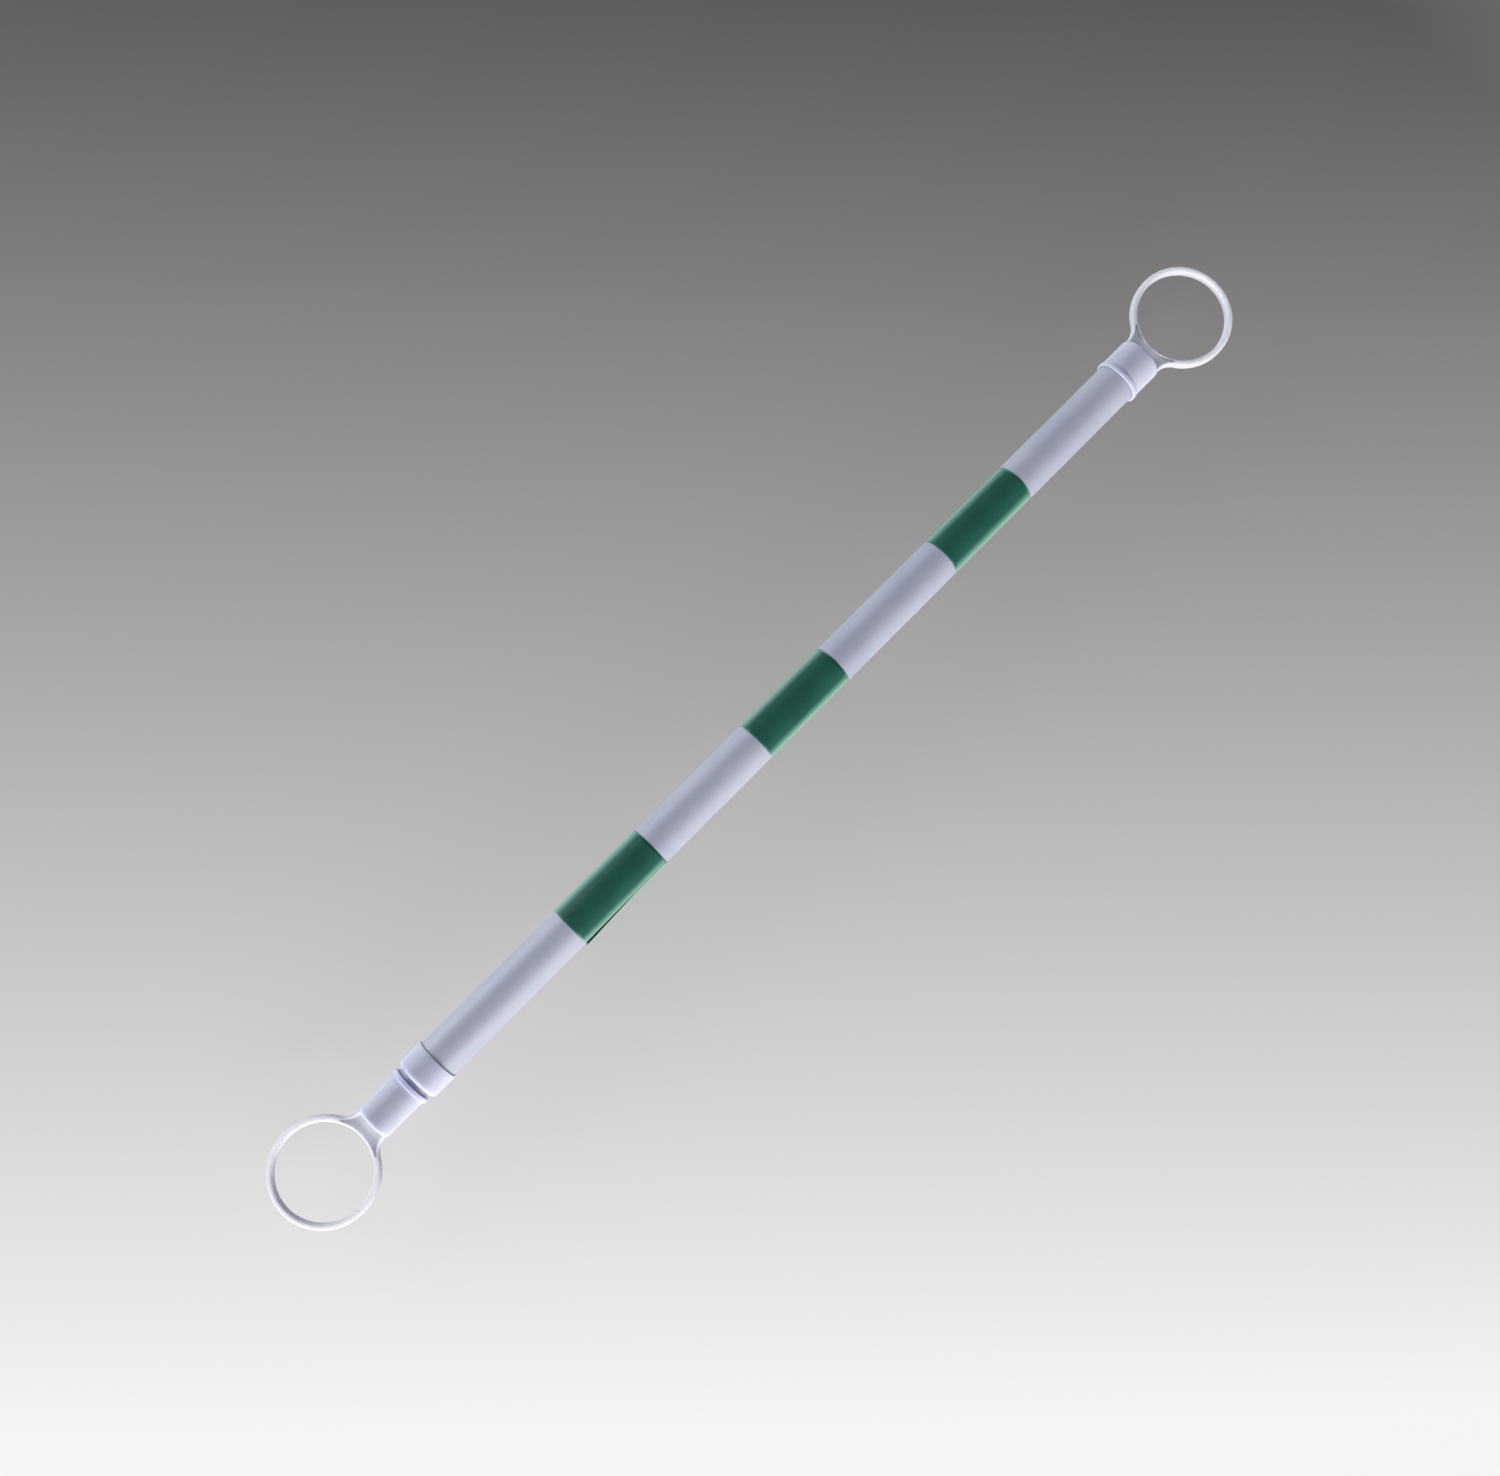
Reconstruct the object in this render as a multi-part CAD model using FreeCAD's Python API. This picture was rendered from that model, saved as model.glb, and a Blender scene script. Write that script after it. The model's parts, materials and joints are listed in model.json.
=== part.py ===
import FreeCAD, Part
import math
import os

# Telescopic cone bar, shut. Millimetres.
# The origin is the centre of the fixed ring's bore. +X runs along the bar to the sliding ring,
# +Z runs up along the bores of both rings.

# Overall
RING_SPACING = 1096.0

# Tubes
OUTER_TUBE_DIAMETER = 40.0
OUTER_TUBE_WALL = 1.8
INNER_TUBE_DIAMETER = 32.0
INNER_TUBE_WALL = 1.6
TUBE_EDGE = 0.3
SMALL_CUT = 0.5

# Rings
RING_BORE = 85.0
RING_WALL = 6.0
RING_HEIGHT = 10.0
BORE_LAND = 6.0
BORE_FLARE = 1.7
RING_EDGE = 2.2

# Forked web between ring and neck
FORK_FILLET = 18.0
FORK_SINK = 0.6
YOKE_GAP = 8.1
WEB_THICKNESS = 4.0
THROAT_RIB = 2.4
SIDE_RIB = 2.4
POCKET_REACH = 14.0
POCKET_CORNER = 0.7

# Necks
NECK_END_WALL = 4.0
NECK_END_ROUND = 3.0
FIXED_NECK_LENGTH = 35.4
FIXED_NECK_WALL = 1.5
FIXED_LIP_RISE = 0.8
SLIDING_NECK_LENGTH = 47.0
SLIDING_NECK_WALL = 1.3
SLIDING_LIP_RISE = 2.0
LIP_LENGTH = 4.6
LIP_CUT = 0.5
GLUE_GAP = 0.05

# Mouth of the thick tube
VISIBLE_STUB = 4.3
COLLAR_LENGTH = 25.9
COLLAR_WALL = 1.7
COLLAR_FRONT_WALL = 5.0
COLLAR_NOSE_ROUND = 4.0
COLLAR_CLEARANCE = 0.35
BUSH_FLANGE = 3.0
BUSH_DEPTH = 38.0
BUSH_CLEARANCE = 0.1
BUSH_SLIT = 2.0
WIPER_WIDTH = 2.4
WIPER_DEPTH = 1.2
WIPER_PLACE = 4.0
WIPER_PLAY = 0.1
WIPER_LIP_CUT = 0.4

# Film
FILM_THICKNESS = 0.25
INNER_FILM_THICKNESS = 0.15
FILM_WIDTH = 100.0
FILM_GLUE = 0.01
OUTER_FILM_SHARES = (0.1832, 0.4498, 0.7263)
INNER_FILM_SHARES = (0.18, 0.47, 0.76)

# Stop and buffer
CLOSING_BUFFER = 6.0
CLOSING_GAP = 0.4
STOP_SLEEVE_LENGTH = 50.0
RUNNING_CLEARANCE = 0.1
FLUTE_COUNT = 6
FLUTE_RADIUS = 1.6
FLUTE_DEPTH = 1.2

# Twist lock, along the bar from the inner end of the thin tube
PLUG_DEPTH = 28.0
PLUG_BARBS = 4
PLUG_BARB_HEIGHT = 0.8
PLUG_BARB_STEP = 0.1
PLUG_CORE = 19.0
PLUG_FLANGE = 4.0
JOURNAL_DIAMETER = 21.9
JOURNAL_LENGTH = 21.0
STUD_DIAMETER = 10.0
SHAFT_CLEARANCE = 0.05
AXIAL_PLAY = 0.2
WEDGE_LENGTH = 10.0
WEDGE_STEP = 1.25
WEDGE_SLOPE = 0.25
WEDGE_TRAVEL = 2.0
WEDGE_SEAT_GAP = 0.06
WEDGE_STANDOFF = 1.0
WEDGE_KEY_WIDTH = 1.8
WEDGE_KEY_LENGTH = 6.0
WEDGE_KEY_STANDOFF = 1.0
EXPANDER_GAP = 0.3
EXPANDER_OVERHANG = 1.0
EXPANDER_SLITS = 4
EXPANDER_SLIT_WIDTH = 2.2
EXPANDER_SOLID_LENGTH = 8.0
DRAG_RING_SECTION = 2.2
DRAG_RING_PLACE = 4.0
DRAG_GROOVE_SHARE = 1.2
CLIP_THICKNESS = 1.5
CLIP_DIAMETER = 16.0
CLIP_GROOVE = 1.0
CLIP_OPENING = 6.0
CLIP_STANDOFF = 1.5
CLIP_PLAY = 0.1
STUD_TIP = 1.5

# Places worked out from the sizes above
OUTER_RADIUS = OUTER_TUBE_DIAMETER / 2
OUTER_BORE = OUTER_RADIUS - OUTER_TUBE_WALL
INNER_RADIUS = INNER_TUBE_DIAMETER / 2
INNER_BORE = INNER_RADIUS - INNER_TUBE_WALL
INNER_FILM_RADIUS = INNER_RADIUS + INNER_FILM_THICKNESS
RING_RADIUS = RING_BORE / 2 + RING_WALL
NECK_START = RING_RADIUS + YOKE_GAP
SOCKET_FLOOR = NECK_START + NECK_END_WALL
SLIDING_LIP = RING_SPACING - NECK_START - SLIDING_NECK_LENGTH
COLLAR_FRONT = SLIDING_LIP - VISIBLE_STUB
OUTER_TUBE_END = COLLAR_FRONT - COLLAR_FRONT_WALL - BUSH_FLANGE
BUSH_INNER_END = OUTER_TUBE_END - BUSH_DEPTH
COLLAR_BACK = COLLAR_FRONT - COLLAR_LENGTH
BUFFER_FACE = SOCKET_FLOOR + CLOSING_BUFFER
EXPANDER_RADIUS = OUTER_BORE - EXPANDER_GAP
JOURNAL_END = PLUG_FLANGE + JOURNAL_LENGTH
WEDGE_LOCKED = JOURNAL_END + WEDGE_STANDOFF
WEDGE_REST = WEDGE_LOCKED + WEDGE_TRAVEL
EXPANDER_END = WEDGE_LOCKED + WEDGE_LENGTH - EXPANDER_OVERHANG
CLIP_PLACE = WEDGE_REST + WEDGE_LENGTH + CLIP_STANDOFF
LOCK_LENGTH = CLIP_PLACE + CLIP_THICKNESS + STUD_TIP
INNER_TUBE_START = BUFFER_FACE + CLOSING_GAP + LOCK_LENGTH
INNER_TUBE_END = RING_SPACING - SOCKET_FLOOR
FIXED_LIP = NECK_START + FIXED_NECK_LENGTH
STOP_FRONT = INNER_TUBE_START + STOP_SLEEVE_LENGTH

X_AXIS = FreeCAD.Vector(1, 0, 0)
Z_AXIS = FreeCAD.Vector(0, 0, 1)
CENTRE = FreeCAD.Vector(0, 0, 0)
FULL_TURN = 360.0
SAME_PLACE = 1e-4
CUT_BEYOND = 1.0


def rounded_wire(corners):
    """Closed wire in the XY plane through (x, y, corner size).

    A corner of SMALL_CUT or less is cut straight, a larger one is an arc.
    """
    points = [FreeCAD.Vector(x, y, 0) for x, y, _ in corners]
    arcs = []
    for i, (_, _, radius) in enumerate(corners):
        here = points[i]
        back = (points[i - 1] - here).normalize()
        ahead = (points[(i + 1) % len(points)] - here).normalize()
        if radius == 0:
            arcs.append((here, None, here))
            continue
        half = back.getAngle(ahead) / 2
        inward = (back + ahead).normalize()
        centre = here + inward * (radius / math.sin(half))
        reach = radius / math.tan(half)
        middle = centre - inward * radius if radius > SMALL_CUT else None
        arcs.append((here + back * reach, middle, here + ahead * reach))
    edges = []
    for i, (start, middle, end) in enumerate(arcs):
        if middle is not None:
            edges.append(arc(start, middle, end))
        elif start.distanceToPoint(end) > SAME_PLACE:
            edges.append(line(start, end))
        following = arcs[(i + 1) % len(arcs)][0]
        if end.distanceToPoint(following) > SAME_PLACE:
            edges.append(line(end, following))
    return Part.Wire(edges)


def turned(corners):
    """Solid turned about the bar's axis from (x, radius, corner radius) points."""
    face = Part.Face(rounded_wire(corners))
    return face.revolve(CENTRE, X_AXIS, FULL_TURN)


def sleeve(start, end, inside, outside, edge=0.0):
    """Plain sleeve along the bar, with its outer end edges rounded."""
    return turned([(start, inside, 0), (end, inside, 0), (end, outside, edge), (start, outside, edge)])


def disc(x, radius, thickness):
    """Disc across the bar, growing towards +X."""
    return Part.makeCylinder(radius, thickness, FreeCAD.Vector(x, 0, 0), X_AXIS)


def around_bar(shape, count, first=0.0):
    """Copies of a shape, evenly spaced around the bar."""
    copies = []
    for i in range(count):
        copy = shape.copy()
        copy.rotate(CENTRE, X_AXIS, first + i * FULL_TURN / count)
        copies.append(copy)
    return copies


def bar_box(start, end, width, low, high):
    """Box along the bar, centred across it, between two heights."""
    return Part.makeBox(end - start, width, high - low, FreeCAD.Vector(start, -width / 2, low))


def arc(start, middle, end):
    return Part.Arc(start, middle, end).toShape()


def line(start, end):
    return Part.LineSegment(start, end).toShape()


def flat(x, y, z=0.0):
    return FreeCAD.Vector(x, y, z)


def fork_half_width(neck_radius):
    """Half width of the fork where it enters the round neck, just inside the neck's skin."""
    return math.sqrt(neck_radius ** 2 - (RING_HEIGHT / 2) ** 2) - FORK_SINK


def fillet_centre(neck_radius):
    """Centre of the hollow arc that runs from the ring into the neck."""
    y = fork_half_width(neck_radius) + FORK_FILLET
    x = math.sqrt((RING_RADIUS + FORK_FILLET) ** 2 - y ** 2)
    return flat(x, y)


def yoke_outline(neck_radius, inset=0.0):
    """Ring and fork seen from above: a round that runs into the neck by two hollow arcs."""
    ring = RING_RADIUS - inset
    fillet = FORK_FILLET + inset
    centre = fillet_centre(neck_radius)
    touch = centre * (ring / (ring + fillet))
    toward_ring = (touch - centre).normalize()
    toward_neck = flat(0, -1)
    middle = centre + (toward_ring + toward_neck).normalize() * fillet
    root = centre + toward_neck * fillet
    seat = flat(NECK_START + NECK_END_ROUND, root.y)
    lower = [flat(p.x, -p.y) for p in (touch, middle, root, seat)]
    edges = [
        arc(touch, flat(-ring, 0), lower[0]),
        arc(lower[0], lower[1], lower[2]),
        line(lower[2], lower[3]),
        line(lower[3], seat),
        line(seat, root),
        arc(root, middle, touch),
    ]
    return Part.Face(Part.Wire(edges))


def opening_cutter():
    """The ring's bore: a straight land at mid height, flared towards both faces."""
    bore = RING_BORE / 2
    land = BORE_LAND / 2
    face_height = RING_HEIGHT / 2
    top = face_height + CUT_BEYOND
    flare = BORE_FLARE * (top - land) / (face_height - land)
    profile = Part.makePolygon([
        FreeCAD.Vector(0, 0, -top),
        FreeCAD.Vector(bore + flare, 0, -top),
        FreeCAD.Vector(bore, 0, -land),
        FreeCAD.Vector(bore, 0, land),
        FreeCAD.Vector(bore + flare, 0, top),
        FreeCAD.Vector(0, 0, top),
        FreeCAD.Vector(0, 0, -top),
    ])
    return Part.Face(profile).revolve(CENTRE, Z_AXIS, FULL_TURN)


def pocket_face(neck_radius):
    """Recess between the throat rib, the two side ribs and the neck's end."""
    start = RING_BORE / 2 - POCKET_REACH
    block = Part.makePlane(NECK_START - start, 2 * RING_RADIUS, flat(start, -RING_RADIUS))
    face = yoke_outline(neck_radius, SIDE_RIB).common(block)
    rib = Part.makeCircle(RING_BORE / 2 + THROAT_RIB)
    face = face.cut(Part.Face(Part.Wire(rib)))
    widest = max(face.Faces, key=lambda piece: piece.Area)
    return widest.makeOffset2D(-POCKET_CORNER).makeOffset2D(POCKET_CORNER)


def on_faces(shape, height):
    """Edges of a shape that lie wholly at plus or minus a height."""
    found = []
    for edge in shape.Edges:
        box = edge.BoundBox
        if abs(abs(box.ZMin) - height) < SAME_PLACE and box.ZLength < SAME_PLACE:
            found.append(edge)
    return found


def yoke(neck_radius):
    """Ring, throat rib, side ribs and recessed web as one flat moulding."""
    half = RING_HEIGHT / 2
    body = yoke_outline(neck_radius).extrude(Z_AXIS * RING_HEIGHT)
    body.translate(Z_AXIS * -half)
    body = body.makeFillet(RING_EDGE, on_faces(body, half))
    body = body.cut(opening_cutter())
    pocket = pocket_face(neck_radius)
    for side in (1, -1):
        recess = pocket.extrude(Z_AXIS * (side * RING_HEIGHT))
        recess.translate(Z_AXIS * (side * WEB_THICKNESS / 2))
        body = body.cut(recess)
    return body


def neck(tube_radius, wall, length, lip_rise):
    """Closed round neck with a lip at its open end, before its socket is bored."""
    radius = tube_radius + wall
    end = NECK_START + length
    lip = radius + lip_rise
    return turned([
        (NECK_START, 0, 0),
        (end, 0, 0),
        (end, lip, LIP_CUT),
        (end - LIP_LENGTH, lip, LIP_CUT),
        (end - LIP_LENGTH, radius, LIP_CUT),
        (NECK_START, radius, NECK_END_ROUND),
    ])


def ring_end(tube_radius, wall, length, lip_rise):
    """One end moulding: ring, forked web and neck, with the socket for its tube."""
    radius = tube_radius + wall
    body = yoke(radius).fuse(neck(tube_radius, wall, length, lip_rise))
    socket = disc(SOCKET_FLOOR, tube_radius + GLUE_GAP, length)
    body = body.cut(socket)
    return body.removeSplitter()


def fixed_ring_end():
    return ring_end(OUTER_RADIUS, FIXED_NECK_WALL, FIXED_NECK_LENGTH, FIXED_LIP_RISE)


def sliding_ring_end():
    """The thin tube's moulding, turned to face the other way."""
    body = ring_end(INNER_RADIUS, SLIDING_NECK_WALL, SLIDING_NECK_LENGTH, SLIDING_LIP_RISE)
    body.rotate(CENTRE, Z_AXIS, 180)
    body.translate(X_AXIS * RING_SPACING)
    return body


def outer_tube():
    return sleeve(SOCKET_FLOOR, OUTER_TUBE_END, OUTER_BORE, OUTER_RADIUS, TUBE_EDGE)


def inner_tube():
    return sleeve(INNER_TUBE_START, INNER_TUBE_END, INNER_BORE, INNER_RADIUS, TUBE_EDGE)


def mouth_collar():
    """Cap over the thick tube's mouth, with a rounded nose and a hole for the thin tube."""
    outside = OUTER_RADIUS + COLLAR_WALL
    seat = OUTER_RADIUS + GLUE_GAP
    hole = INNER_FILM_RADIUS + COLLAR_CLEARANCE
    shoulder = COLLAR_FRONT - COLLAR_FRONT_WALL
    return turned([
        (COLLAR_BACK, seat, 0),
        (shoulder, seat, 0),
        (shoulder, hole, 0),
        (COLLAR_FRONT, hole, SMALL_CUT),
        (COLLAR_FRONT, outside, COLLAR_NOSE_ROUND),
        (COLLAR_BACK, outside, SMALL_CUT),
    ])


def wiper_groove():
    """Inner end, outer end and floor radius of the wiper's groove in the bush."""
    end = OUTER_TUBE_END - WIPER_PLACE
    return end - WIPER_WIDTH - 2 * WIPER_PLAY, end, INNER_FILM_RADIUS + WIPER_DEPTH


def mouth_bush():
    """Split bush in the mouth: a flange under the collar and a long guiding body."""
    bore = INNER_FILM_RADIUS + BUSH_CLEARANCE
    body = OUTER_BORE - GLUE_GAP
    flange = OUTER_TUBE_END + BUSH_FLANGE
    start, end, floor = wiper_groove()
    bush = turned([
        (BUSH_INNER_END, bore, SMALL_CUT),
        (start, bore, 0),
        (start, floor, 0),
        (end, floor, 0),
        (end, bore, 0),
        (flange, bore, SMALL_CUT),
        (flange, OUTER_RADIUS - TUBE_EDGE, 0),
        (OUTER_TUBE_END, OUTER_RADIUS - TUBE_EDGE, 0),
        (OUTER_TUBE_END, body, 0),
        (BUSH_INNER_END, body, SMALL_CUT),
    ])
    slit = bar_box(BUSH_INNER_END - CUT_BEYOND, flange + CUT_BEYOND, BUSH_SLIT, -OUTER_RADIUS, 0)
    return bush.cut(slit)


def wiper_ring():
    """Rubber ring with a narrow lip that wipes the thin tube."""
    start, end, floor = wiper_groove()
    lip = INNER_FILM_RADIUS + SHAFT_CLEARANCE
    low = start + WIPER_PLAY
    high = end - WIPER_PLAY
    return turned([(low, lip, WIPER_LIP_CUT), (high, lip, WIPER_LIP_CUT), (high, floor, 0), (low, floor, 0)])


def closing_buffer():
    """Rubber pad on the closed end of the thick tube, with a dished middle."""
    rim = OUTER_BORE - EXPANDER_GAP
    hub = STUD_DIAMETER
    dish = CLOSING_BUFFER / 3
    return turned([
        (SOCKET_FLOOR, 0, 0),
        (BUFFER_FACE, 0, 0),
        (BUFFER_FACE, hub, SMALL_CUT),
        (BUFFER_FACE - dish, hub + dish, SMALL_CUT),
        (BUFFER_FACE - dish, rim, SMALL_CUT),
        (SOCKET_FLOOR, rim, 0),
    ])


def stop_sleeve():
    """Fluted sleeve on the inner end of the thin tube. The flutes let air past."""
    outside = OUTER_BORE - RUNNING_CLEARANCE
    body = sleeve(INNER_TUBE_START, STOP_FRONT, INNER_RADIUS + GLUE_GAP, outside, SMALL_CUT)
    flute = Part.makeCylinder(
        FLUTE_RADIUS,
        STOP_SLEEVE_LENGTH + 2 * CUT_BEYOND,
        FreeCAD.Vector(INNER_TUBE_START - CUT_BEYOND, 0, outside + FLUTE_RADIUS - FLUTE_DEPTH),
        X_AXIS,
    )
    return body.cut(around_bar(flute, FLUTE_COUNT))


def film(start, tube_radius, thickness):
    return sleeve(start, start + FILM_WIDTH, tube_radius + FILM_GLUE, tube_radius + thickness)


def green_bands():
    """Film on the thick tube, spaced over the stretch between collar and fixed neck."""
    bands = {}
    bare = COLLAR_BACK - FIXED_LIP
    for number, share in enumerate(OUTER_FILM_SHARES, 1):
        low = COLLAR_BACK - share * bare - FILM_WIDTH
        bands["green_band_%d" % number] = film(low, OUTER_RADIUS, FILM_THICKNESS)
    return bands


def inner_bands():
    """Film on the thin tube, spaced between its neck and its stop, hidden while the bar is shut."""
    bands = {}
    bare = SLIDING_LIP - STOP_FRONT
    for number, share in enumerate(INNER_FILM_SHARES, 1):
        low = SLIDING_LIP - share * bare - FILM_WIDTH
        bands["inner_band_%d" % number] = film(low, INNER_RADIUS, INNER_FILM_THICKNESS)
    return bands


def along_lock(place):
    """X of a place on the lock, measured from the thin tube's inner end towards the fixed ring."""
    return INNER_TUBE_START - place


def lock_profile(corners):
    """Turned solid whose points are (place on the lock, radius, corner radius)."""
    return turned([(along_lock(place), radius, corner) for place, radius, corner in corners])


def lock_plug():
    """Barbed plug in the thin tube, with a guiding flange, a journal and a stud."""
    barb = INNER_BORE - GLUE_GAP / 2
    root = barb - PLUG_BARB_HEIGHT
    pitch = PLUG_DEPTH / PLUG_BARBS
    journal = JOURNAL_DIAMETER / 2
    stud = STUD_DIAMETER / 2
    core = PLUG_CORE / 2
    guide = OUTER_BORE - RUNNING_CLEARANCE
    groove_end = CLIP_PLACE + CLIP_THICKNESS
    corners = [
        (LOCK_LENGTH, 0, 0),
        (LOCK_LENGTH, stud, SMALL_CUT),
        (groove_end, stud, 0),
        (groove_end, stud - CLIP_GROOVE, 0),
        (CLIP_PLACE, stud - CLIP_GROOVE, 0),
        (CLIP_PLACE, stud, 0),
        (JOURNAL_END, stud, 0),
        (JOURNAL_END, journal, SMALL_CUT),
        (PLUG_FLANGE, journal, 0),
        (PLUG_FLANGE, guide, SMALL_CUT),
        (0, guide, SMALL_CUT),
        (0, root, 0),
    ]
    for i in range(PLUG_BARBS):
        corners.append((-(i + PLUG_BARB_STEP) * pitch, barb, 0))
        corners.append((-(i + 1) * pitch, root, 0))
    corners.append((-PLUG_DEPTH, core, 0))
    corners.append((0, core, 2 * SMALL_CUT))
    corners.append((0, 0, 0))
    return lock_profile(corners)


def drag_groove():
    """First and last place and floor radius of the drag ring's groove."""
    first = PLUG_FLANGE + AXIAL_PLAY + DRAG_RING_PLACE - DRAG_RING_SECTION
    outer = OUTER_BORE - SHAFT_CLEARANCE
    last = first + DRAG_RING_SECTION * DRAG_GROOVE_SHARE
    return first, last, outer - DRAG_RING_SECTION - SHAFT_CLEARANCE


def wedge_radius(place, from_small_end):
    """Radius of the wedge's cone at a place, when its small end is at another."""
    return JOURNAL_DIAMETER / 2 + WEDGE_STEP + WEDGE_SLOPE * (place - from_small_end)


def lock_expander():
    """Slit sleeve: a bore that turns on the journal, and a cone for the wedge."""
    start = PLUG_FLANGE + AXIAL_PLAY
    bore = JOURNAL_DIAMETER / 2 + SHAFT_CLEARANCE
    cone_start = JOURNAL_END + AXIAL_PLAY
    first, last, floor = drag_groove()
    body = lock_profile([
        (start, bore, SMALL_CUT),
        (cone_start, bore, 0),
        (cone_start, wedge_radius(cone_start, WEDGE_LOCKED) + WEDGE_SEAT_GAP, 0),
        (EXPANDER_END, wedge_radius(EXPANDER_END, WEDGE_LOCKED) + WEDGE_SEAT_GAP, 0),
        (EXPANDER_END, EXPANDER_RADIUS, SMALL_CUT),
        (last, EXPANDER_RADIUS, 0),
        (last, floor, SMALL_CUT),
        (first, floor, SMALL_CUT),
        (first, EXPANDER_RADIUS, 0),
        (start, EXPANDER_RADIUS, SMALL_CUT),
    ])
    slit = bar_box(
        along_lock(EXPANDER_END + CUT_BEYOND),
        along_lock(start + EXPANDER_SOLID_LENGTH),
        EXPANDER_SLIT_WIDTH,
        0,
        OUTER_RADIUS,
    )
    return body.cut(around_bar(slit, EXPANDER_SLITS))


def lock_drag_ring():
    """Rubber ring with cut corners in the expander's groove, dragging in the thick tube."""
    first, last, _ = drag_groove()
    play = (last - first - DRAG_RING_SECTION) / 2
    outside = OUTER_BORE - SHAFT_CLEARANCE
    inside = outside - DRAG_RING_SECTION
    return lock_profile([
        (first + play, inside, SMALL_CUT),
        (last - play, inside, SMALL_CUT),
        (last - play, outside, SMALL_CUT),
        (first + play, outside, SMALL_CUT),
    ])


def lock_wedge():
    """Cone on the stud, with keys that ride in the expander's slits."""
    bore = STUD_DIAMETER / 2 + SHAFT_CLEARANCE
    back = WEDGE_REST + WEDGE_LENGTH
    body = lock_profile([
        (WEDGE_REST, bore, SMALL_CUT),
        (back, bore, SMALL_CUT),
        (back, wedge_radius(back, WEDGE_REST), SMALL_CUT),
        (WEDGE_REST, wedge_radius(WEDGE_REST, WEDGE_REST), SMALL_CUT),
    ])
    key = bar_box(
        along_lock(back),
        along_lock(back - WEDGE_KEY_LENGTH),
        WEDGE_KEY_WIDTH,
        bore + WEDGE_KEY_STANDOFF,
        EXPANDER_RADIUS - WEDGE_KEY_STANDOFF,
    )
    return body.fuse(around_bar(key, EXPANDER_SLITS)).removeSplitter()


def wedge_clip():
    """Open snap ring in the stud's groove."""
    body = sleeve(
        along_lock(CLIP_PLACE + CLIP_THICKNESS - CLIP_PLAY),
        along_lock(CLIP_PLACE + CLIP_PLAY),
        STUD_DIAMETER / 2 - CLIP_GROOVE + SHAFT_CLEARANCE,
        CLIP_DIAMETER / 2,
        CLIP_THICKNESS / 4,
    )
    gap = bar_box(
        along_lock(CLIP_PLACE + CLIP_THICKNESS),
        along_lock(CLIP_PLACE),
        CLIP_OPENING,
        0,
        CLIP_DIAMETER,
    )
    return body.cut(gap)


def main():
    shapes = {
        "outer_tube": outer_tube(),
        "inner_tube": inner_tube(),
        "fixed_ring_end": fixed_ring_end(),
        "sliding_ring_end": sliding_ring_end(),
        "mouth_collar": mouth_collar(),
        "mouth_bush": mouth_bush(),
        "wiper_ring": wiper_ring(),
        "closing_buffer": closing_buffer(),
        "stop_sleeve": stop_sleeve(),
        "lock_plug": lock_plug(),
        "lock_expander": lock_expander(),
        "lock_drag_ring": lock_drag_ring(),
        "lock_wedge": lock_wedge(),
        "wedge_clip": wedge_clip(),
    }
    shapes.update(green_bands())
    shapes.update(inner_bands())
    os.makedirs("parts", exist_ok=True)
    for name, shape in shapes.items():
        solids = shape.Solids
        if not solids or not shape.isValid():
            raise ValueError("%s has no valid solid" % name)
        result = solids[0] if len(solids) == 1 else Part.makeCompound(solids)
        result.exportStep("parts/%s.step" % name)
        print(name, len(solids), round(result.Volume, 1))
    print("travel", round(BUSH_INNER_END - STOP_FRONT, 2))


main()
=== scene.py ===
import json
import math

import bpy
from mathutils import Euler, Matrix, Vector, noise


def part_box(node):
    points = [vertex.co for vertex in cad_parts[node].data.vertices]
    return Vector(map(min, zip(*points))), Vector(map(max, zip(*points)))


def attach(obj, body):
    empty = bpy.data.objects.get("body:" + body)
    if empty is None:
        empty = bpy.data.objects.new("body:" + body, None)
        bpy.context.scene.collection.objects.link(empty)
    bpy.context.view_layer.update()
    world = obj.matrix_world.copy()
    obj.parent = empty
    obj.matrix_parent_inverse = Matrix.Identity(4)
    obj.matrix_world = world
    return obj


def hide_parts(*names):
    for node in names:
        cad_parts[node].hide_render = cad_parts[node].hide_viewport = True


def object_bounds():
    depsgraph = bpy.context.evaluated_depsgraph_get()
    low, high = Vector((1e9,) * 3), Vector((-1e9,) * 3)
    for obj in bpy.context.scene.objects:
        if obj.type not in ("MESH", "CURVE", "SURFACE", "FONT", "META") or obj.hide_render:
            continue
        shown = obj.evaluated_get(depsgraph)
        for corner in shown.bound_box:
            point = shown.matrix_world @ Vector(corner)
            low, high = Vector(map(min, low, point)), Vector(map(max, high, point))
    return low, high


# Telescopic cone bar, closed, seen from above. Metres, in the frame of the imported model:
# X runs along the bar from the fixed ring to the sliding ring, Z up through the rings.

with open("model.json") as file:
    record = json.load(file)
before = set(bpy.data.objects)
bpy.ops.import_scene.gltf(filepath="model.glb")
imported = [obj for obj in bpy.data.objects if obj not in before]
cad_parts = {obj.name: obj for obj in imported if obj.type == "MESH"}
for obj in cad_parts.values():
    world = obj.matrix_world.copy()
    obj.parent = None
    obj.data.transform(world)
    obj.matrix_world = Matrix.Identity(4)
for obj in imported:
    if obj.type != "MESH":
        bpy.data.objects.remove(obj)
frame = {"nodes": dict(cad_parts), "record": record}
CAD_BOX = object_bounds()
NODES = frame["nodes"]

# Camera, fitted to the photograph: the focal length in its pixels, and the turn about X, Y and Z in degrees
PHOTO_WIDTH = 1500
FOCAL_PIXELS = 1700
SENSOR_WIDTH = 36.0
CAMERA_PLACE = (0.7747, 0.0474, 1.5091)
CAMERA_TURN = (6.859, -3.981, 134.726)

# Middle of the bar, halfway between the centres of its two rings
RING_CENTRES = [Vector(mount["pos_m"]) for mount in frame["record"]["mounts"]]
MIDDLE = (RING_CENTRES[0] + RING_CENTRES[1]) / 2

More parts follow.
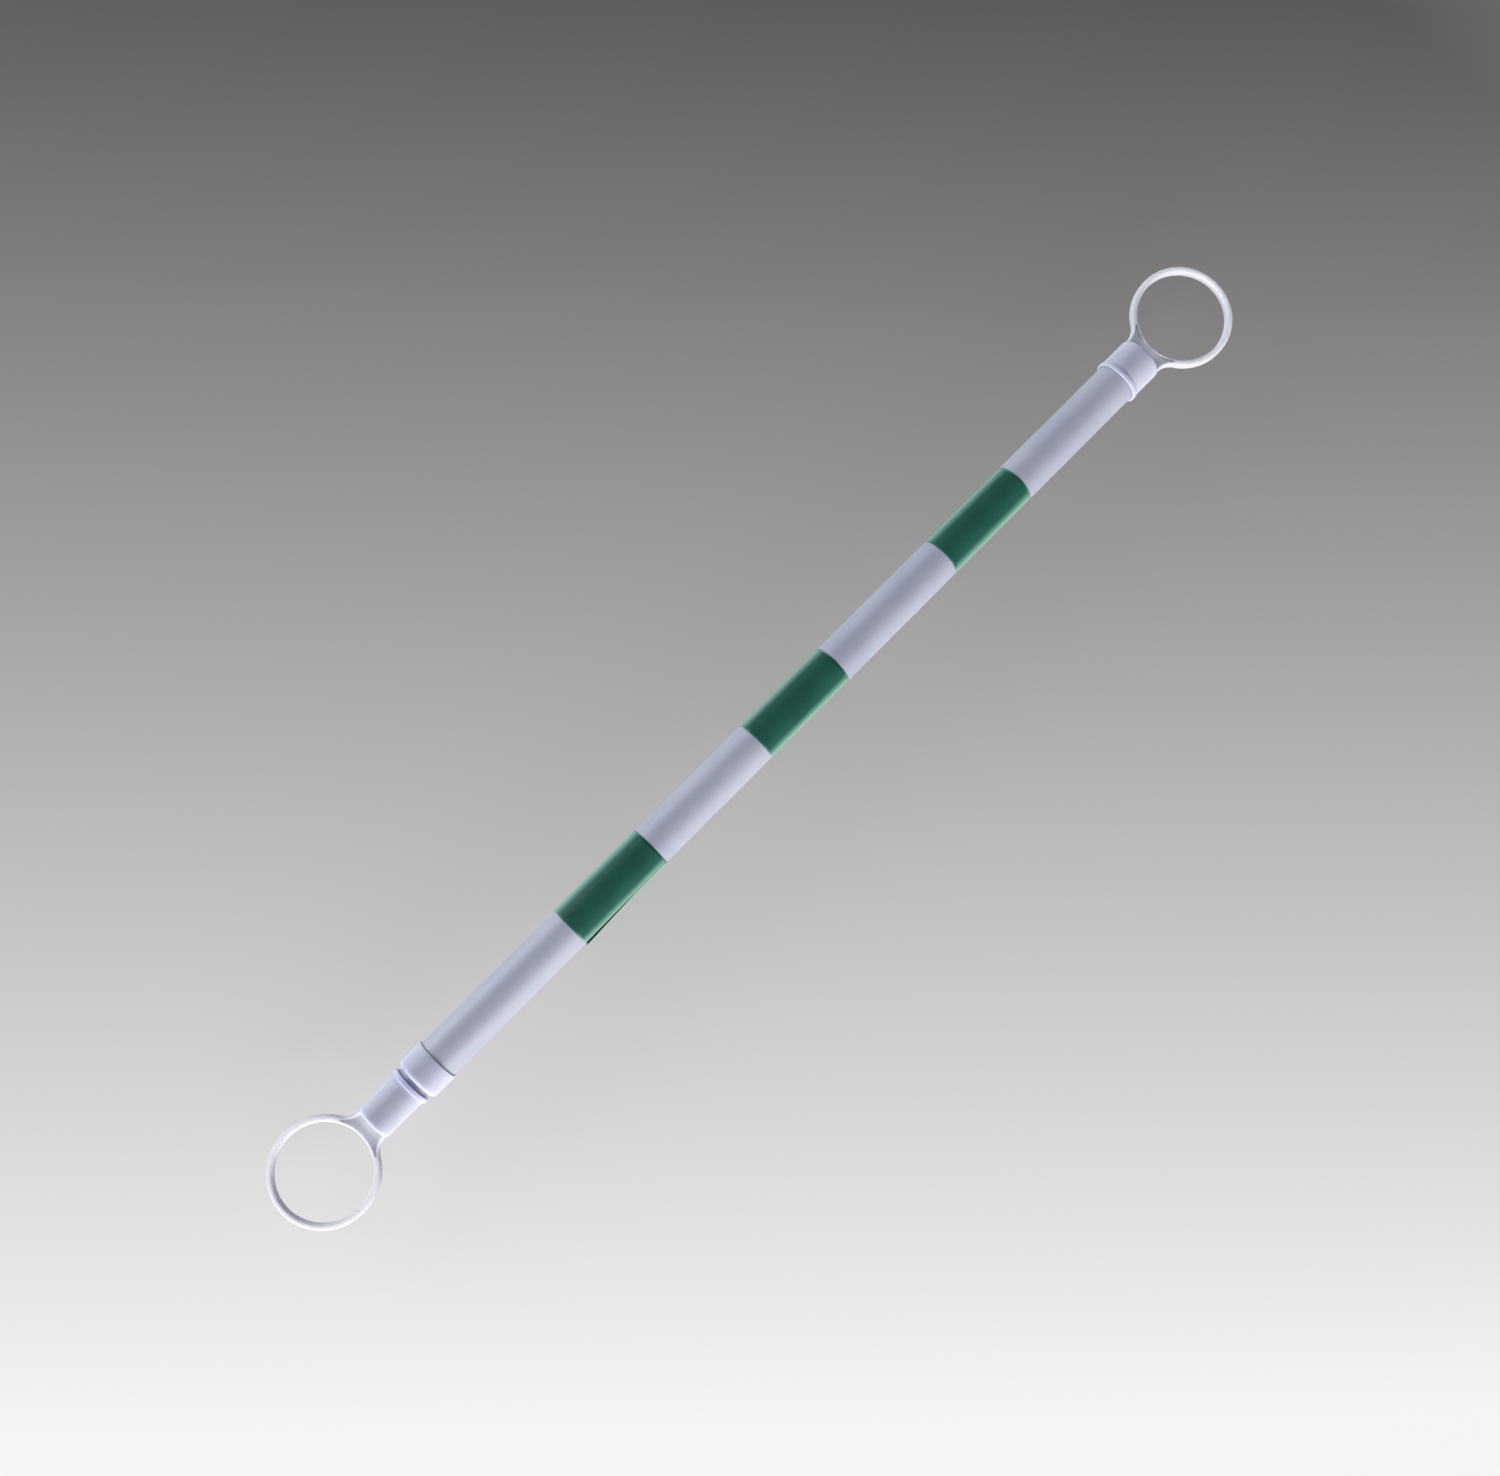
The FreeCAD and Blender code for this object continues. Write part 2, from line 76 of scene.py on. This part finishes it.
# Mouldings: where the round necks start, from each ring's centre, and how softly the colour changes there
NECK_START = 0.0566
NECK_BLEND = 0.0005

# Film: angles round the tube in degrees, lift of the free corner in metres
FILM_BANDS = {
    "green_band_1": {"lap_at": 99, "lap": 26, "skew": 9, "lift": 0.0021, "seed": 11},
    "green_band_2": {"lap_at": 205, "lap": 22, "skew": 2, "lift": 0.0002, "seed": 23},
    "green_band_3": {"lap_at": 158, "lap": 24, "skew": -3, "lift": 0.0002, "seed": 37},
}
FILM_THICKNESS = 0.0002
FILM_STEPS_AROUND = 180
FILM_STEPS_ALONG = 40
FULL_TURN = 2 * math.pi

# Room for adhesive under the film and between the layers of its lap
TUBE_GAP = 0.00003
LAP_GAP = 0.00005

# Share of the lap over which the film climbs on its own start
LAP_CLIMB = 0.2

# Shares of the lap and of the band's width after which the film comes away
PEEL_FROM_LAP = 0.25
PEEL_FROM_WIDTH = 0.35

# Unevenness of the film's face and of its cut edges
RIPPLE = 0.00004
EDGE_WANDER = 0.00025

# Floor, and the stretch of it that the picture shows, in metres down the picture
FLOOR_SIZE = 60.0
FLOOR_GAP = 0.0002
PICTURE_DOWN = Vector((1, 1, 0)).normalized()
PICTURE_TOP = -0.33
PICTURE_BOTTOM = 1.00
SHOWN_MIDDLE = (0.60, 0.03, 0)

# Floor's grey at the picture's top and bottom, as displayed, and the display's gamma
TOP_GREY = 0.37
BOTTOM_GREY = 0.99
DISPLAY_GAMMA = 2.2

# Red against green and blue at the picture's top, and where that tint ends
TOP_WARMTH = 1.045
WARMTH_END = 0.55

# Distances from the shown middle between which the floor turns to its far grey
FADE_START = 1.0
FADE_END = 2.4
FAR_GREY = 0.74

# Share of the floor's look that comes from its own grey, and not from the lamps
OWN_SHARE = 0.8

# World: light from all round, and the wall that the camera and glossy surfaces see
SKY_COLOUR = (0.78, 0.82, 0.92, 1)
SKY_STRENGTH = 0.32
WALL_COLOUR = (0.74, 0.74, 0.75, 1)


# Node helpers

class Material:
    """A node material, with short calls for the nodes that several finishes share."""

    def __init__(self, name):
        self.material = bpy.data.materials.new(name)
        self.material.use_nodes = True
        self.tree = self.material.node_tree
        self.tree.nodes.clear()
        self.output = self.add("ShaderNodeOutputMaterial")
        self.place = self.add("ShaderNodeTexCoord").outputs["Object"]

    def add(self, kind, inputs=None, **settings):
        """Makes a node, with sockets linked or set from inputs and properties from settings."""
        node = self.tree.nodes.new(kind)
        for key, value in settings.items():
            setattr(node, key, value)
        for key, value in (inputs or {}).items():
            if isinstance(value, bpy.types.NodeSocket):
                self.tree.links.new(value, node.inputs[key])
            else:
                node.inputs[key].default_value = value
        return node

    def stretched(self, scale):
        """Place on the piece, scaled along each axis, for noise that is longer one way."""
        mapping = self.add("ShaderNodeMapping", {"Vector": self.place, "Scale": scale})
        return mapping.outputs["Vector"]

    def noise(self, scale, detail=3.0, roughness=0.5, vector=None):
        inputs = {"Vector": vector or self.place, "Scale": scale, "Detail": detail, "Roughness": roughness}
        return self.add("ShaderNodeTexNoise", inputs).outputs["Fac"]

    def cells(self, scale, feature="F1", vector=None):
        inputs = {"Vector": vector or self.place, "Scale": scale}
        return self.add("ShaderNodeTexVoronoi", inputs, feature=feature).outputs["Distance"]

    def span(self, value, low, high, to_low=0.0, to_high=1.0):
        """Maps value from low..high to to_low..to_high, and holds it at both ends."""
        inputs = {"Value": value, "From Min": low, "From Max": high, "To Min": to_low, "To Max": to_high}
        return self.add("ShaderNodeMapRange", inputs).outputs["Result"]

    def math(self, operation, a, b=0.0):
        return self.add("ShaderNodeMath", {0: a, 1: b}, operation=operation).outputs["Value"]

    def blend(self, share, first, second):
        """Colour that runs from first to second as share goes from 0 to 1."""
        node = self.add("ShaderNodeMix", data_type="RGBA")
        for key, value in ((0, share), (6, first), (7, second)):
            if isinstance(value, bpy.types.NodeSocket):
                self.tree.links.new(value, node.inputs[key])
            else:
                node.inputs[key].default_value = value if key == 0 else (*value, 1.0)
        return node.outputs[2]

    def axis(self, letter):
        split = self.add("ShaderNodeSeparateXYZ", {"Vector": self.place})
        return split.outputs[letter]

    def upward(self):
        """How far the surface faces up or down, from 0 on a side to 1 on a flat face."""
        normal = self.add("ShaderNodeTexCoord").outputs["Normal"]
        return self.math("ABSOLUTE", self.add("ShaderNodeSeparateXYZ", {"Vector": normal}).outputs["Z"])

    def bump(self, height, distance, strength=1.0, normal=None):
        inputs = {"Height": height, "Distance": distance, "Strength": strength}
        if normal:
            inputs["Normal"] = normal
        return self.add("ShaderNodeBump", inputs).outputs["Normal"]

    def finish(self, colour, roughness, normal, **constants):
        """Closes the material with a Principled shader, constants named as its sockets with underscores."""
        inputs = {"Base Color": colour, "Roughness": roughness, "Normal": normal}
        inputs.update({key.replace("_", " "): value for key, value in constants.items()})
        shader = self.add("ShaderNodeBsdfPrincipled", inputs)
        self.tree.links.new(shader.outputs["BSDF"], self.output.inputs["Surface"])
        return self.material


# Materials

def white_tube():
    """Satin extruded tube: faint lines along its length, hairline scratches, and painted shade that darkens
    it next to other parts.
    """
    m = Material("white_tube")
    drawn = m.noise(1.0, 4.0, 0.6, m.stretched((2.5, 900, 900)))
    cloud = m.noise(14.0, 3.0)
    scratch = m.cells(1.0, "DISTANCE_TO_EDGE", m.stretched((55, 260, 260)))
    scratched = m.math("MULTIPLY", m.span(scratch, 0.0, 0.012, 1.0, 0.0), m.span(m.noise(30.0), 0.5, 0.62))
    clean = m.blend(m.span(cloud, 0.35, 0.65), (0.44, 0.46, 0.57), (0.49, 0.505, 0.60))
    # Painted shade: the colour darkens toward near black where ambient occlusion finds parts close by, such
    # as behind the collar.
    nook = m.add("ShaderNodeAmbientOcclusion", {"Distance": 0.005}, samples=6).outputs["AO"]
    nook_shaded = m.blend(m.span(nook, 0.30, 0.85, 0.85, 0.0), clean, (0.09, 0.095, 0.13))
    colour = m.blend(m.math("MULTIPLY", scratched, 0.35), nook_shaded, (0.33, 0.34, 0.40))
    roughness = m.math("ADD", m.span(cloud, 0.3, 0.7, 0.42, 0.54), m.math("MULTIPLY", scratched, 0.2))
    lines = m.bump(drawn, 0.00004, 0.5)
    normal = m.bump(m.math("SUBTRACT", 0.0, scratched), 0.00003, 0.6, lines)
    return m.finish(colour, roughness, normal, IOR=1.5, Subsurface_Weight=0.08, Subsurface_Scale=0.003)


def white_moulding():
    """Satin injection moulding: fine grain, a parting line at mid height, soft flow marks.

    Ring and web are painted paler on their flat faces than on their sides, as painted light for how the
    lamps fall on them, and the necks lie between the two; recesses get painted shade.
    """
    m = Material("white_moulding")
    grain = m.noise(2600.0, 2.0)
    flow = m.noise(1.0, 3.0, 0.5, m.stretched((28, 60, 60)))
    parting = m.span(m.math("ABSOLUTE", m.axis("Z")), 0.00008, 0.00022, 1.0, 0.0)
    # Painted shade: the colour darkens in recesses and next to other parts, found by ambient occlusion and
    # made uneven by noise.
    nook = m.add("ShaderNodeAmbientOcclusion", {"Distance": 0.004}, samples=6).outputs["AO"]
    nook_shade = m.math("MULTIPLY", m.span(nook, 0.25, 0.75, 1.0, 0.0), m.span(m.noise(90.0), 0.35, 0.7))
    outward = m.math("ABSOLUTE", m.math("SUBTRACT", m.axis("X"), MIDDLE.x))
    neck_at = MIDDLE.x - NECK_START
    in_ring = m.span(outward, neck_at - NECK_BLEND, neck_at + NECK_BLEND)
    neck = m.blend(m.span(flow, 0.35, 0.68), (0.60, 0.615, 0.84), (0.66, 0.67, 0.875))
    # Painted light: flat faces get a paler colour than sides, standing in for the light that falls on them.
    ring = m.blend(m.math("POWER", m.upward(), 3.0), (0.60, 0.60, 0.66), (0.93, 0.93, 0.98))
    clean = m.blend(in_ring, neck, ring)
    colour = m.blend(m.math("MULTIPLY", nook_shade, 0.30), clean, (0.33, 0.34, 0.42))
    roughness = m.span(flow, 0.3, 0.7, 0.55, 0.66)
    soft = m.add("ShaderNodeBevel", {"Radius": 0.0007}, samples=6).outputs["Normal"]
    seam = m.bump(parting, 0.00012, 0.8, soft)
    normal = m.bump(grain, 0.000025, 0.35, seam)
    return m.finish(
        colour, roughness, normal,
        IOR=1.45, Specular_IOR_Level=0.1,
        Subsurface_Weight=0.8, Subsurface_Scale=0.006, Subsurface_Radius=(1.0, 1.0, 1.0),
    )


def green_film():
    """Reflective film: glass beads under a clear skin, deep green face on, with a painted sheen that turns
    it pale at a grazing angle.
    """
    m = Material("green_film")
    beads = m.cells(2200.0)
    ripple = m.noise(1.0, 3.0, 0.55, m.stretched((26, 70, 70)))
    patch = m.noise(38.0, 4.0, 0.6)
    fleck = m.span(beads, 0.1, 0.6)
    deep = m.blend(m.span(patch, 0.35, 0.68), (0.0035, 0.052, 0.038), (0.009, 0.086, 0.060))
    body = m.blend(m.math("MULTIPLY", fleck, 0.35), deep, (0.018, 0.150, 0.110))
    # Painted sheen: the colour turns pale mint where the surface is seen at a grazing angle.
    grazing = m.add("ShaderNodeLayerWeight", {"Blend": 0.5}).outputs["Facing"]
    colour = m.blend(m.span(grazing, 0.27, 0.64), body, (0.24, 0.44, 0.37))
    roughness = m.span(patch, 0.3, 0.7, 0.40, 0.54)
    waves = m.bump(ripple, 0.0005, 0.35)
    normal = m.bump(beads, 0.00003, 0.3, waves)
    return m.finish(
        colour, roughness, normal,
        IOR=1.4, Specular_IOR_Level=0.2, Coat_Weight=0.1, Coat_Roughness=0.2,
        Sheen_Weight=0.3, Sheen_Roughness=0.4, Sheen_Tint=(0.45, 1.0, 0.80, 1.0),
    )


def lock_plastic():
    """Natural nylon of the pieces inside: milky grey, turned marks, greasy in patches."""
    m = Material("lock_plastic")
    turned = m.noise(1.0, 3.0, 0.6, m.stretched((1800, 40, 40)))
    grease = m.span(m.noise(160.0, 4.0, 0.65), 0.45, 0.7)
    colour = m.blend(grease, (0.47, 0.48, 0.49), (0.33, 0.335, 0.33))
    roughness = m.span(grease, 0.0, 1.0, 0.48, 0.26)
    normal = m.bump(turned, 0.00003, 0.4)
    return m.finish(colour, roughness, normal, IOR=1.53, Subsurface_Weight=0.1, Subsurface_Scale=0.002)


def black_rubber():
    """Matt rubber with a dusty bloom."""
    m = Material("black_rubber")
    pitted = m.noise(3200.0, 3.0, 0.7)
    bloom = m.span(m.noise(220.0, 4.0, 0.6), 0.45, 0.75)
    colour = m.blend(bloom, (0.018, 0.018, 0.019), (0.055, 0.053, 0.050))
    roughness = m.span(bloom, 0.0, 1.0, 0.62, 0.82)
    normal = m.bump(pitted, 0.00004, 0.5)
    return m.finish(colour, roughness, normal, IOR=1.52)


def spring_steel():
    """Brushed spring steel, browned in patches."""
    m = Material("spring_steel")
    brushed = m.noise(1.0, 4.0, 0.6, m.stretched((200, 4200, 200)))
    brown = m.span(m.noise(420.0, 3.0), 0.5, 0.72)
    colour = m.blend(brown, (0.56, 0.56, 0.57), (0.30, 0.26, 0.22))
    roughness = m.span(brushed, 0.3, 0.7, 0.26, 0.42)
    normal = m.bump(brushed, 0.00001, 0.5)
    return m.finish(colour, roughness, normal, Metallic=1.0)


def dress_nodes():
    """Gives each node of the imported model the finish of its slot."""
    makers = (white_tube, white_moulding, green_film, lock_plastic, black_rubber, spring_steel)
    finishes = {maker.__name__: maker() for maker in makers}
    for part in frame["record"]["subparts"]:
        mesh = NODES[part["node"]].data
        mesh.materials.clear()
        mesh.materials.append(finishes[part["material_slot"]])
        mesh.polygons.foreach_set("material_index", [0] * len(mesh.polygons))
    return finishes


# Film wrapped round the thick tube

def past(value, start):
    """How far a share has gone beyond start, itself as a share from 0 to 1."""
    return max(0.0, (value - start) / (1 - start))


def film_point(low, high, inner, share, wound, style):
    """Point of the film at a share of its width, after the strip has wound this far round the tube."""
    start = math.radians(style["lap_at"]) + math.radians(style["skew"]) * (share - 0.5)
    turn = start - wound
    side, top = math.sin(turn), math.cos(turn)
    over = max(0.0, wound - FULL_TURN) / math.radians(style["lap"])
    ripple = noise.noise(Vector((share * 9, side * 2, top * 2 + style["seed"])))
    wander = noise.noise(Vector((top, side, style["seed"] + share * 3)))
    radius = inner + RIPPLE * (1 + ripple)
    radius += min(1.0, over / LAP_CLIMB) * (FILM_THICKNESS + LAP_GAP)
    radius += style["lift"] * past(over, PEEL_FROM_LAP) ** 2 * past(share, PEEL_FROM_WIDTH)
    along = low.x + (high.x - low.x) * share + EDGE_WANDER * wander
    return Vector((along, radius * side, radius * top))


def film_band(name, style, finish):
    """One strip wrapped once round the tube, whose end laps over its start and lifts a little."""
    low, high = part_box(name)
    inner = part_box("outer_tube")[1].z + TUBE_GAP
    length = FULL_TURN + math.radians(style["lap"])
    verts = [
        film_point(low, high, inner, i / FILM_STEPS_ALONG, length * j / FILM_STEPS_AROUND, style)
        for i in range(FILM_STEPS_ALONG + 1)
        for j in range(FILM_STEPS_AROUND + 1)
    ]
    row = FILM_STEPS_AROUND + 1
    corners = [i * row + j for i in range(FILM_STEPS_ALONG) for j in range(FILM_STEPS_AROUND)]
    faces = [(a, a + 1, a + row + 1, a + row) for a in corners]
    mesh = bpy.data.meshes.new(name + "_wrap")
    mesh.from_pydata(verts, [], faces)
    mesh.update()
    band = bpy.data.objects.new(name + "_wrap", mesh)
    bpy.context.scene.collection.objects.link(band)
    thicken = band.modifiers.new("thickness", "SOLIDIFY")
    thicken.thickness = FILM_THICKNESS
    thicken.offset = 1.0
    mesh.materials.append(finish)
    for polygon in mesh.polygons:
        polygon.use_smooth = True
    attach(band, "outer_section")
    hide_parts(name)


# Floor, light and camera

def floor():
    """Wide floor, pale far off, whose grey runs from dark at the picture's top to white at its bottom."""
    m = Material("studio_floor")
    drop = m.add("ShaderNodeVectorMath", {0: m.place, 1: PICTURE_DOWN}, operation="DOT_PRODUCT")
    drop = drop.outputs["Value"]
    level = m.span(drop, PICTURE_TOP, PICTURE_BOTTOM, TOP_GREY, BOTTOM_GREY)
    shaded = m.math("POWER", level, DISPLAY_GAMMA)
    offset = m.add("ShaderNodeVectorMath", {0: m.place, 1: SHOWN_MIDDLE}, operation="SUBTRACT")
    away = m.add("ShaderNodeVectorMath", {0: offset.outputs["Vector"]}, operation="LENGTH")
    fade = m.span(away.outputs["Value"], FADE_START, FADE_END)
    near_grey = m.math("MULTIPLY", shaded, m.math("SUBTRACT", 1.0, fade))
    grey = m.math("ADD", near_grey, m.math("MULTIPLY", fade, FAR_GREY))
    red = m.math("MULTIPLY", grey, m.span(drop, PICTURE_TOP, WARMTH_END, TOP_WARMTH, 1.0))
    tint = m.add("ShaderNodeCombineColor", {"Red": red, "Green": grey, "Blue": grey}).outputs["Color"]
    grit = m.noise(700.0, 2.0)
    lit = m.add("ShaderNodeBsdfDiffuse", {"Color": tint, "Normal": m.bump(grit, 0.00005, 0.2)})
    shown = m.add("ShaderNodeEmission", {"Color": tint, "Strength": 1.0})
    bounce = m.add("ShaderNodeBsdfDiffuse", {"Color": (0.70, 0.70, 0.72, 1)})
    seen = m.add("ShaderNodeMixShader", {0: OWN_SHARE, 1: lit.outputs[0], 2: shown.outputs[0]})
    ray = m.add("ShaderNodeLightPath").outputs
    camera_or_glossy = m.math("MAXIMUM", ray["Is Camera Ray"], ray["Is Glossy Ray"])
    whole = m.add("ShaderNodeMixShader", {0: camera_or_glossy, 1: bounce.outputs[0], 2: seen.outputs[0]})
    m.tree.links.new(whole.outputs[0], m.output.inputs["Surface"])
    half = FLOOR_SIZE / 2
    height = CAD_BOX[0][2] - FLOOR_GAP
    corners = [(-half, -half), (half, -half), (half, half), (-half, half)]
    mesh = bpy.data.meshes.new("studio_floor")
    mesh.from_pydata([(MIDDLE.x + x, y, height) for x, y in corners], [], [(0, 1, 2, 3)])
    mesh.materials.append(m.material)
    plane = bpy.data.objects.new("studio_floor", mesh)
    bpy.context.scene.collection.objects.link(plane)


def lamp(name, toward, distance, height, size, power, colour):
    """Soft panel that faces the bar's middle, seen from there in the direction toward."""
    light = bpy.data.lights.new(name, "AREA")
    light.shape = "RECTANGLE"
    light.size, light.size_y = size
    light.energy = power
    light.color = colour
    holder = bpy.data.objects.new(name, light)
    holder.location = MIDDLE + Vector(toward).normalized() * distance + Vector((0, 0, height))
    aim = MIDDLE - holder.location
    holder.rotation_euler = aim.to_track_quat("-Z", "Y").to_euler()
    bpy.context.scene.collection.objects.link(holder)


def lights():
    """Two low panels, a strong warm one on one side of the bar and a weaker cool one on the other."""
    lamp("key", toward=(0.75, 1, 0), distance=9.0, height=1.6, size=(7.0, 2.6),
         power=1160.0, colour=(1.0, 0.99, 0.97))
    lamp("far_side", toward=(0.5, -1, 0), distance=6.0, height=1.2, size=(4.5, 1.8),
         power=316.0, colour=(0.96, 0.98, 1.0))


def backdrop():
    """Dim cool light from all round, which the camera and glossy surfaces see as a pale wall."""
    world = bpy.data.worlds.new("studio")
    world.use_nodes = True
    nodes, links = world.node_tree.nodes, world.node_tree.links
    light = nodes["Background"]
    light.inputs["Color"].default_value = SKY_COLOUR
    light.inputs["Strength"].default_value = SKY_STRENGTH
    wall = nodes.new("ShaderNodeBackground")
    wall.inputs["Color"].default_value = WALL_COLOUR
    path = nodes.new("ShaderNodeLightPath")
    seen = nodes.new("ShaderNodeMath")
    seen.operation = "MAXIMUM"
    links.new(path.outputs["Is Camera Ray"], seen.inputs[0])
    links.new(path.outputs["Is Glossy Ray"], seen.inputs[1])
    mix = nodes.new("ShaderNodeMixShader")
    links.new(seen.outputs[0], mix.inputs[0])
    links.new(light.outputs[0], mix.inputs[1])
    links.new(wall.outputs[0], mix.inputs[2])
    links.new(mix.outputs[0], nodes["World Output"].inputs["Surface"])
    bpy.context.scene.world = world


def camera():
    """Camera at the place and angle fitted to the photograph."""
    data = bpy.data.cameras.new("camera")
    data.sensor_fit = "HORIZONTAL"
    data.sensor_width = SENSOR_WIDTH
    data.lens = SENSOR_WIDTH * FOCAL_PIXELS / PHOTO_WIDTH
    holder = bpy.data.objects.new("camera", data)
    holder.location = CAMERA_PLACE
    holder.rotation_euler = Euler([math.radians(angle) for angle in CAMERA_TURN], "XYZ")
    bpy.context.scene.collection.objects.link(holder)
    bpy.context.scene.camera = holder


FINISHES = dress_nodes()
for band_name, band_style in FILM_BANDS.items():
    film_band(band_name, band_style, FINISHES["green_film"])
floor()
lights()
backdrop()
camera()
bpy.context.scene.view_settings.view_transform = "Standard"
